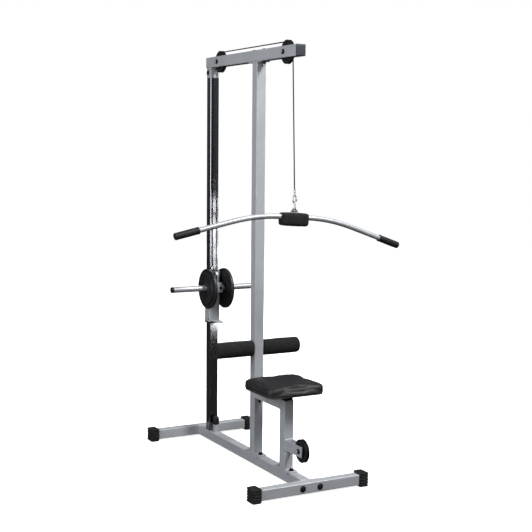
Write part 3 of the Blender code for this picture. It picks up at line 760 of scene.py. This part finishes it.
def rod(node, body, look, plug_out, plug_in):
    """Round rod with a black plug over each end."""
    box = Box(node)
    radius = box.half.z
    half = box.half.x
    bar = [(radius - 0.0008, -half + 0.0006), (radius, -half + 0.0016), (radius, half - 0.0016),
           (radius - 0.0008, half - 0.0006)]
    piece(node + "_bar", turned(node, capped(bar), steps=48), body, look,
          aimed(box.mid, (1, 0, 0)), (node,))
    for side in (-1, 1):
        rim = radius + 0.0003
        plug = softened([(rim - 0.0002, half - plug_in), (rim, half - plug_in + 0.001),
                         (rim, half + plug_out), (0.0030, half + plug_out + 0.0006)], 0.0022)
        name = node + "_plug_" + SIDE_NAME[side]
        shape = turned(name, capped(plug), steps=48)
        piece(name, shape, body, NYLON, aimed(box.mid, (side, 0, 0)))


rod("weight_rod", "carriage", SATIN, 0.0010, 0.0110)
rod("roller_rod", "frame", ZINC, 0.0115, 0.0100)

# ---------------------------------------------------------------- carriage details
sleeve_low, sleeve_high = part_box("carriage_sleeve")
for side in (-1, 1):
    x = sleeve_low.x if side < 0 else sleeve_high.x
    for end, y in (("front", sleeve_low.y + 0.012), ("rear", sleeve_high.y - 0.012)):
        name = "_".join(("sleeve_screw", end, SIDE_NAME[side]))
        button_head(name, "carriage", (x, y, sleeve_low.z + 0.014), (side, 0, 0), 0.0032, 0.0016)

set_screw = face_of("rod_block", 1, -1)
for side in (-1, 1):
    button_head("rod_set_screw_" + SIDE_NAME[side], "carriage",
                set_screw + Vector((side * 0.018, 0, 0)), (0, -1, 0), 0.0060, 0.0030)


# ---------------------------------------------------------------- cable and links
def swage(name, body, foot, axis, length):
    """Pressed steel sleeve on a cable's end, with two crimps."""
    r = 0.0047
    crimp = r - 0.0006
    profile = [(r - 0.0008, 0.0), (r, 0.0010)]
    for share in (0.26, 0.60):
        profile += [(r, length * share), (crimp, length * (share + 0.04)),
                    (crimp, length * (share + 0.12)), (r, length * (share + 0.16))]
    profile += [(r, length - 0.0015), (CABLE_R + 0.0003, length)]
    piece(name, turned(name, capped(profile), steps=36), body, ZINC, aimed(foot, axis))


def cable_drop(node, top, foot):
    """Straight run from its top at the pulley down to its foot."""
    bm = bmesh.new()
    spans = 160
    sides = 20
    turn = (foot - top).to_track_quat("Z", "Y")
    rings = []
    for i in range(spans + 1):
        spot = top.lerp(foot, i / spans)
        circle = [turn @ Vector((CABLE_R * math.cos(t), CABLE_R * math.sin(t), 0.0))
                  for t in (2 * math.pi * k / sides for k in range(sides))]
        rings.append([bm.verts.new(spot + c) for c in circle])
    for a, b in zip(rings, rings[1:]):
        bridge(bm, a, b)
    bm.faces.new(rings[0])
    bm.faces.new(rings[-1])
    name = node + "_run"
    obj = added(name, mesh_of(bm, name))
    obj.data.materials.append(CABLE)
    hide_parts(node)
    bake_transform(obj)


SWAGE = 0.030
rear_top = face_of("cable_rear_drop", 2, 1)
rear_foot = face_of("cable_rear_drop", 2, -1)
cable_drop("cable_rear_drop", rear_top, rear_foot + Vector((0, 0, 0.010)))
swage("rear_swage", "carriage", rear_foot, LEVEL, SWAGE)

hook_at = Vector(JOINTS["bar_swivel"]["pos_m"])
low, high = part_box("cable_front_drop")
front_top = Vector((0, high.y - CABLE_R, high.z))
front_foot = Vector((0, hook_at.y, low.z))
pull = (front_top - front_foot).normalized()
cable_drop("cable_front_drop", front_top, front_foot + pull * 0.010)
swage("front_swage", "hook", front_foot, pull, SWAGE)

# the run over the pulleys: two arcs joined by a straight
low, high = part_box("cable_top_run")
front_hub = Vector(JOINTS["front_pulley_spin"]["pos_m"])
rear_hub = Vector(JOINTS["rear_pulley_spin"]["pos_m"])
reach = high.z - CABLE_R - front_hub.z
lean = math.asin(min(1.0, (front_top.z - front_hub.z) / reach))
arc = [lean + (math.pi / 2 - lean) * i / 20 for i in range(21)]
run = [(0, front_hub.y - reach * math.cos(a), front_hub.z + reach * math.sin(a)) for a in arc]
gap = rear_hub.y - front_hub.y
run += [(0, front_hub.y + gap * i / 60, front_hub.z + reach) for i in range(1, 60)]
run += [(0, rear_hub.y + reach * math.sin(a), rear_hub.z + reach * math.cos(a))
        for a in (math.pi / 2 * i / 20 for i in range(21))]
wire("cable_top_run_coat", run, CABLE_R, "frame", CABLE, stands_for=("cable_top_run",))


def oval(half_w, half_h, across, steps=14):
    """Points of a link that stands on end; across is the unit vector along its width."""
    across = Vector(across)
    out = []
    for start, sign in ((0.0, 1), (math.pi, -1)):
        for i in range(steps + 1):
            a = start + math.pi * i / steps
            out.append(across * (half_w * math.cos(a))
                       + Vector((0, 0, sign * (half_h - half_w) + half_w * math.sin(a))))
    return out


def quick_link(node, body, across, name):
    """Oval link closed by a threaded sleeve on one side."""
    box = Box(node)
    half_w = abs(box.half.dot(Vector(across))) - WIRE_R
    half_h = box.half.z - WIRE_R
    at = Matrix.Translation(box.mid)
    wire(name, oval(half_w, half_h, across), WIRE_R, body, ZINC, closed=True, at=at,
         stands_for=(node,), sides=6)
    sleeve = prism(name, 6, 0.0078, 0.0120, 0.0008)
    spot = box.mid + Vector(across) * half_w - Vector((0, 0, 0.006))
    piece(name + "_sleeve", sleeve, body, BRIGHT, aimed(spot, LEVEL))


quick_link("swivel_link", "swivel", (0, 1, 0), "bar_quick_link")
quick_link("cable_link", "carriage", (1, 0, 0), "carriage_quick_link")

# snap hook: pear-shaped body, sprung gate, swivel eye on top
box = Box("snap_hook")
half_h = box.half.z
SNAP_R = 0.0029
body_path = [(0.0, half_h - 0.0031), (0.0052, half_h - 0.0044), (0.0084, half_h - 0.0100),
             (0.0087, 0.0), (0.0082, -half_h + 0.0105), (0.0048, -half_h + 0.0047),
             (0.0, -half_h + 0.0031), (-0.0050, -half_h + 0.0048), (-0.0083, -half_h + 0.0110),
             (-0.0087, 0.0), (-0.0084, half_h - 0.0100), (-0.0052, half_h - 0.0044)]
path = softened([(x, 0.0, z) for x, z in body_path], 0.004, closed=True)
wire("snap_hook_body", path, SNAP_R, "hook", ZINC, closed=True, at=Matrix.Translation(box.mid),
     stands_for=("snap_hook",), sides=6)
gate_at = Matrix.Translation(box.mid + Vector((0.0086, 0, 0)))
gate = [(0.0036, -0.0090), (0.0040, -0.0082), (0.0040, 0.0082), (0.0036, 0.0090)]
piece("snap_hook_gate", turned("snap_hook_gate", capped(gate), steps=32), "hook", BRIGHT,
      gate_at)
coil = [Vector((0.0044 * math.cos(t), 0.0044 * math.sin(t), -0.0068 + 0.0016 * t / math.pi / 2))
        for t in (math.pi / 6 * i for i in range(12 * 8))]
wire("snap_hook_spring", coil, 0.00045, "hook", BRIGHT, sides=2,
     at=gate_at)
ball = [(0.0062 * math.sin(t), 0.0046 * -math.cos(t)) for t in
        (math.pi * i / 16 for i in range(17))]
piece("hook_swivel_ball", turned("hook_swivel_ball", ball, steps=40), "hook", ZINC,
      Matrix.Translation(face_of("snap_hook", 2, 1) + Vector((0, 0, 0.0012))))

# ---------------------------------------------------------------- bar
pivot = Vector(JOINTS["bar_tilt"]["pos_m"])
TILTED = Matrix.Translation(pivot) @ Matrix.Rotation(BAR_TILT, 4, "Y")


def bar_point(side, x):
    """Point on the bar's straight end, measured from the pivot with the bar level."""
    (x0, d0), (x1, d1) = BAR_SHAPE[-2:]
    return Vector((side * x, 0.0, -BAR_DROP - d0 - (d1 - d0) * (x - x0) / (x1 - x0)))


half_line = [Vector((x, 0.0, -BAR_DROP - d)) for x, d in BAR_SHAPE]
line = [Vector((-p.x, p.y, p.z)) for p in reversed(half_line)] + half_line
wire("bent_bar", softened(line, 0.018, steps=5), BAR_R, "bar", SATIN, at=TILTED,
     stands_for=("lat_bar",), sides=10)


def grip(node, side):
    """Moulded grip: inner collar, body with shallow rings near its inner end, domed end."""
    start = bar_point(side, GRIP_START)
    tip = bar_point(side, BAR_SHAPE[-1][0])
    length = (tip - start).length + GRIP_OVERHANG
    profile = [(BAR_R, 0.0), (GRIP_R - 0.0006, 0.0), (GRIP_R + 0.0004, 0.0010),
               (GRIP_R + 0.0004, 0.0030), (GRIP_R - 0.0004, 0.0042)]
    for i in range(3):
        z = 0.0075 + i * 0.0036
        profile += [(GRIP_R, z - 0.0010), (GRIP_R, z), (GRIP_R - 0.0005, z + 0.0007),
                    (GRIP_R - 0.0005, z + 0.0015)]
    spans = 24
    for i in range(spans + 1):
        z = 0.0190 + (length - 0.0330) * i / spans
        profile.append((GRIP_R - 0.0003 + 0.0003 * math.sin(math.pi * i / spans), z))
    end = softened([(GRIP_R - 0.0003, length - 0.0120), (GRIP_R, length - 0.0030),
                    (GRIP_R - 0.0030, length), (0.0042, length), (0.0036, length - 0.0015)], 0.002)
    profile += end
    at = TILTED @ aimed(start, tip - start)
    name = node + "_sleeve"
    obj = piece(name, turned(name, capped(profile), steps=56), "bar", RUBBER, at, (node,))


grip("hand_grip_left", -1)
grip("hand_grip_right", 1)


# ---------------------------------------------------------------- soft goods
def cage(half, radius, levels, sides=8):
    """Closed rounded-box cage: half sizes, plan corner radius and (height share, inset) levels."""
    layers = []
    for share, inset in levels:
        outline = rectangle(half[0] - inset, half[1] - inset, radius, steps=sides)
        layers.append([Vector((u, v, share * half[2])) for u, v in outline])
    return layers


def remeshed(obj, voxel):
    remesh = obj.modifiers.new("even", "REMESH")
    remesh.mode = "VOXEL"
    remesh.voxel_size = voxel
    remesh.use_smooth_shade = True
    applied(obj)


def applied(obj):
    """Bake an object's modifiers into its mesh."""
    bpy.context.view_layer.update()
    shape = obj.evaluated_get(bpy.context.evaluated_depsgraph_get())
    mesh = bpy.data.meshes.new_from_object(shape)
    old = obj.data
    obj.modifiers.clear()
    obj.data = mesh
    bpy.data.meshes.remove(old)


def inflated(obj, voxel, cap, pressure, pinned=None, frames=20):
    """Fill a closed cover with air by cloth simulation, then keep it within cap of its cut."""
    remeshed(obj, voxel)
    start = [v.co.copy() for v in obj.data.vertices]
    cloth = obj.modifiers.new("cover", "CLOTH")
    cloth.settings.quality = 6
    cloth.settings.mass = 0.4
    cloth.settings.tension_stiffness = 25
    cloth.settings.compression_stiffness = 20
    cloth.settings.bending_stiffness = 2.0
    cloth.settings.use_pressure = True
    cloth.settings.uniform_pressure_force = pressure
    cloth.settings.effector_weights.gravity = 0
    cloth.collision_settings.use_collision = False
    if pinned:
        group = obj.vertex_groups.new(name="pinned")
        group.add([i for i, co in enumerate(start) if pinned(co)], 1.0, "REPLACE")
        cloth.settings.vertex_group_mass = "pinned"
    scene = bpy.context.scene
    for step in range(1, frames + 1):
        scene.frame_set(step)
    applied(obj)
    scene.frame_set(1)
    for v, co in zip(obj.data.vertices, start):
        moved = v.co - co
        if moved.length > cap:
            v.co = co + moved.normalized() * cap
    obj.vertex_groups.clear()


def smoothed(obj):
    """One level of subdivision, baked in."""
    finer = obj.modifiers.new("finer", "SUBSURF")
    finer.levels = 1
    finer.render_levels = 1
    applied(obj)
    obj.data.shade_smooth()


def soft_piece(name, layers, look, at):
    obj = added(name, layered(name, layers, angle=180))
    obj.data.materials.append(look)
    obj.matrix_world = at
    return obj


def settled(obj, body, stands_for):
    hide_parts(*stands_for)
    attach(obj, body)


# seat: board, foam and vinyl pulled over it with a sewn edge and pleats at the corners
seat_box = Box("seat_pad")
seat_half = seat_box.half
BOARD_T = 0.009
SWELL = 0.0050
cover_half = (seat_half.x - SWELL, seat_half.y - SWELL, seat_half.z - BOARD_T / 2 - SWELL / 2)
seat_at = Matrix.Translation(seat_box.mid + Vector((0, 0, BOARD_T / 2 - SWELL / 2)))
seat_levels = [(-1.0, 0.006), (-0.92, 0.0015), (-0.6, 0.0), (0.0, 0.0), (0.55, 0.0008),
               (0.84, 0.0045), (0.96, 0.011), (1.0, 0.022)]
seat = soft_piece("seat_cushion", cage(cover_half, 0.040, seat_levels), VINYL, seat_at)
floor_z = -cover_half[2]
inflated(seat, 0.0055, 0.007, 2.4, pinned=lambda co: co.z < floor_z + 0.004)


def seat_relief(co):
    """Pleats at the corners, pull marks on the sides and the hollow that sitting leaves."""
    u = co.x / cover_half[0]
    v = co.y / cover_half[1]
    top = max(0.0, co.z / cover_half[2])
    hollow = -0.0030 * top * math.exp(-((u / 0.50) ** 2 + ((v + 0.05) / 0.50) ** 2))
    corner = max(0.0, abs(u) + abs(v) - 1.45) / 0.4
    round_it = math.atan2(co.y, co.x)
    side = 1.0 - min(1.0, top * 1.6)
    pleat = -0.0009 * corner * side * max(0.0, math.cos(round_it * 52)) ** 3
    ripple = 0.0004 * noise.noise(Vector((co.x * 14, co.y * 14, co.z * 30)))
    return hollow, pleat + ripple


smoothed(seat)
normals = [v.normal.copy() for v in seat.data.vertices]
for v, normal in zip(seat.data.vertices, normals):
    lift, push = seat_relief(v.co)
    v.co += normal * push
    v.co.z += lift


def on_cover(u, v, z):
    """Point of the cover nearest to a point beside it, in the cushion's own space."""
    return seat.closest_point_on_mesh(Vector((u, v, z)))[1]


outline = rectangle(seat_half.x, seat_half.y, 0.045, steps=10)
bpy.context.view_layer.update()
seam = [on_cover(p.x, p.y, floor_z + 0.008) for p in
        resampled([(u, v, 0.0) for u, v in outline], 0.004)]
stitch_bm = bmesh.new()
for a, b in zip(seam[::2], seam[1::2]):
    along = (b - a).normalized()
    stitch = bmesh.ops.create_uvsphere(stitch_bm, u_segments=8, v_segments=6, radius=1.0)["verts"]
    turn = along.to_track_quat("Z", "Y").to_matrix().to_4x4()
    shape = Matrix.Translation((a + b) / 2) @ turn @ Matrix.Diagonal((0.0005, 0.0005, 0.0017, 1))
    bmesh.ops.transform(stitch_bm, matrix=shape, verts=stitch)
piping = [on_cover(p.x, p.y, floor_z + 0.001) for p in
          resampled([(u, v, 0.0) for u, v in outline], 0.006)]
settled(seat, "frame", ("seat_pad",))
piece("seat_stitches", mesh_of(stitch_bm, "seat_stitches"), "frame", THREAD, seat_at)
wire("seat_piping", piping, 0.0022, "frame", VINYL, closed=True, at=seat_at, sides=4)
board_half = (seat_half.x - 0.008, seat_half.y - 0.008, BOARD_T / 2)
board_levels = [(-1.0, 0.001), (-0.8, 0.0), (0.8, 0.0), (1.0, 0.001)]
piece("seat_board", layered("seat_board", cage(board_half, 0.038, board_levels)), "frame", BOARD,
      Matrix.Translation(face_of("seat_pad", 2, -1) + Vector((0, 0, BOARD_T / 2))))
bracket_top = face_of("seat_bracket", 2, 1)
for side in (-1, 1):
    for end, y in (("front", -0.060), ("rear", 0.060)):
        name = "_".join(("seat_screw", SIDE_NAME[side], end))
        spot = (side * 0.062, bracket_top.y + y, bracket_top.z - 0.0042)
        button_head(name, "frame", spot, (0, 0, -1), 0.0062, 0.0030)

# padded block on the bar
block_mid = Vector((0, 0, -BAR_DROP + (PAD_RISE - PAD_FALL) / 2))
block_half = (PAD_HALF_X, PAD_HALF_Y, (PAD_RISE + PAD_FALL) / 2)
PUFF = 0.0022
turned_block = TILTED @ Matrix.Translation(block_mid) @ Matrix.Rotation(math.pi / 2, 4, "Y")
block_cage = []
for share, inset in ((-1.0, 0.0110), (-0.975, 0.0050), (-0.93, 0.0014), (-0.84, 0.0), (-0.4, 0.0),
                     (0.0, 0.0), (0.4, 0.0), (0.84, 0.0), (0.93, 0.0014), (0.975, 0.0050),
                     (1.0, 0.0110)):
    outline = rectangle(block_half[2] - PUFF - inset, block_half[1] - PUFF - inset, 0.014, steps=6)
    block_cage.append([Vector((u, v, share * (PAD_HALF_X - PUFF))) for u, v in outline])
block = soft_piece("bar_pad", block_cage, FOAM, turned_block)
inflated(block, 0.0040, PUFF, 2.0)
smoothed(block)
settled(block, "bar", ("bar_centre_block",))


def roller(node, body, side):
    """Foam sleeve: soft ends, cut slightly uneven, a little slimmer towards its ends."""
    box = Box(node)
    length = box.half.x * 2
    radius = box.half.z
    inner = 0.0128
    soft = 0.009
    spans = 34
    end = [(radius - soft + soft * math.sin(t), soft - soft * math.cos(t))
           for t in (math.pi / 8 * i for i in range(5))]
    rings = end + [(radius, soft + (length - 2 * soft) * i / spans) for i in range(1, spans)]
    rings += [(r, length - z) for r, z in reversed(end)]
    faces = [(inner, 0.003), (inner + 0.003, 0.0004), (radius - 0.018, 0.0)]
    profile = faces + rings + [(r, length - z) for r, z in reversed(faces)]
    mesh = turned(node, profile, steps=72, ring=True, angle=180)
    for v in mesh.vertices:
        reach = math.hypot(v.co.x, v.co.y)
        if reach < radius * 0.6:
            continue
        out = Vector((v.co.x, v.co.y, 0.0)).normalized()
        dent = 0.0008 * noise.noise(Vector((v.co.x * 22, v.co.y * 22, v.co.z * 16 + side * 9)))
        crown = -0.0007 * (2 * v.co.z / length - 1) ** 2
        v.co += out * (dent + crown - 0.0002)
    at = aimed(face_of(node, 0, -side), (side, 0, 0))
    obj = piece(node + "_foam", mesh, body, FOAM, at, (node,))


roller("foam_roller_left", "left_roller", -1)
roller("foam_roller_right", "right_roller", 1)


# ---------------------------------------------------------------- studio
def staged(name, mesh, color, glow, at):
    """Part of the set; its own glow brings it up to clean white, and it lights nothing."""
    mat = bpy.data.materials.new(name)
    mat.use_nodes = True
    shader = mat.node_tree.nodes["Principled BSDF"]
    for key, value in (("Base Color", (*color, 1.0)), ("Roughness", 1.0),
                       ("Specular IOR Level", 0.0), ("Emission Color", (1.0, 1.0, 1.0, 1.0)),
                       ("Emission Strength", glow)):
        shader.inputs[key].default_value = value
    mesh.materials.append(mat)
    obj = added(name, mesh)
    obj.matrix_world = at
    obj.visible_diffuse = False
    obj.visible_glossy = False
    return obj


floor = bmesh.new()
bmesh.ops.create_grid(floor, x_segments=1, y_segments=1, size=13.5)
staged("floor", mesh_of(floor, "floor"), (0.93, 0.93, 0.93), 0.85, Matrix.Translation((0, 0, -0.0006)))
dome = bmesh.new()
bmesh.ops.create_icosphere(dome, subdivisions=5, radius=13.0)
backdrop = staged("backdrop", mesh_of(dome, "backdrop"), (0.0, 0.0, 0.0), 1.0,
                  Matrix.Identity(4))
backdrop.visible_shadow = False

# dim room, lighter overhead
world = bpy.data.worlds.new("studio")
bpy.context.scene.world = world
world.use_nodes = True
room = world.node_tree
background = room.nodes["Background"]
background.inputs["Color"].default_value = (0.93, 0.96, 1.0, 1.0)
split = room.nodes.new("ShaderNodeSeparateXYZ")
room.links.new(room.nodes.new("ShaderNodeTexCoord").outputs["Generated"], split.inputs[0])
ramp = room.nodes.new("ShaderNodeMapRange")
for key, value in (("From Min", -0.10), ("From Max", 0.85), ("To Min", 0.035), ("To Max", 0.34)):
    ramp.inputs[key].default_value = value
room.links.new(split.outputs["Z"], ramp.inputs["Value"])
room.links.new(ramp.outputs[0], background.inputs["Strength"])


def softbox(name, at, aim, width, height, power, color=(1.0, 1.0, 1.0)):
    light = bpy.data.lights.new(name, "AREA")
    light.shape = "RECTANGLE"
    light.size = width
    light.size_y = height
    light.energy = power
    light.color = color
    obj = added(name, light)
    obj.matrix_world = aimed(at, Vector(at) - Vector(aim))
    obj.visible_camera = False
    return obj


softbox("key", (2.1, -3.2, 5.3), (0, -0.1, 1.9), 1.3, 1.3, 400)
softbox("fill_left", (-4.0, -0.9, 2.2), (0, 0, 1.5), 2.6, 3.4, 145, (0.97, 0.985, 1.0))
softbox("fill_front", (-1.6, -5.0, 2.8), (0, 0, 1.4), 1.6, 2.4, 45)
# no glare from behind off the tops, which the camera sees nearly edge on
softbox("fill_back", (3.6, 4.2, 2.6), (0, 0, 1.2), 2.6, 2.6, 100).visible_glossy = False
# narrow strip for the chrome post to mirror, as a bright band down its near face
softbox("strip", (1.303, -2.257, 0.675), (0, 0.441, 0.675), 0.046, 1.07, 1.15).visible_diffuse = False

camera = added("camera", bpy.data.cameras.new("camera"))
camera.data.lens = CAMERA_LENS
camera.data.sensor_width = 36.0
camera.matrix_world = (Matrix.Translation(CAMERA_AT)
                       @ Matrix.Rotation(math.radians(CAMERA_AZIMUTH), 4, "Z")
                       @ Matrix.Rotation(math.radians(90 - CAMERA_PITCH), 4, "X")
                       @ Matrix.Rotation(math.radians(CAMERA_ROLL), 4, "Z"))
bpy.context.scene.camera = camera
bpy.context.scene.view_settings.view_transform = "Standard"
